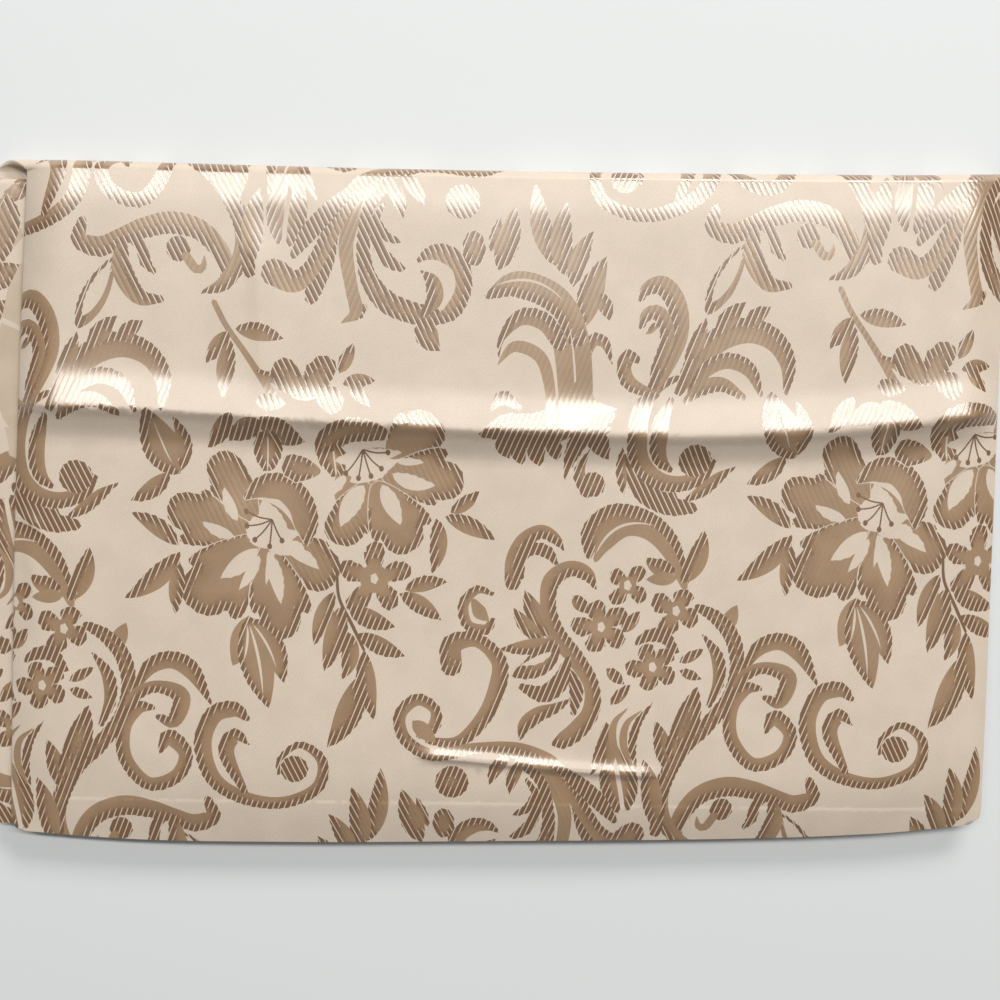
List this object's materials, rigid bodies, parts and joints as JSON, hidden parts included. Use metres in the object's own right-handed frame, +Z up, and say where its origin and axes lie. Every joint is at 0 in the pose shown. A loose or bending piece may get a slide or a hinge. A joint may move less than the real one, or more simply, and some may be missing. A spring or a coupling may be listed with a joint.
{
  "type": "folded jacquard fabric",
  "caption": "Cut length of cream satin jacquard with tan woven flowers and leaves, folded into a flat oblong packet with one free hemmed edge on top.",
  "frame": {"origin": "middle of the packet's underside, on the surface that it rests on", "axes": "+X along the packet's long side, +Y from the free hemmed edge towards the rolled fold, +Z up out of the top panel"},
  "size_m": [0.5762, 0.3878, 0.0213],
  "materials": {
    "jacquard": "satin weave, tan flowers on a cream ground"
  },
  "bodies": {
    "root": {"folded_cloth": "jacquard"}
  },
  "joints": []
}
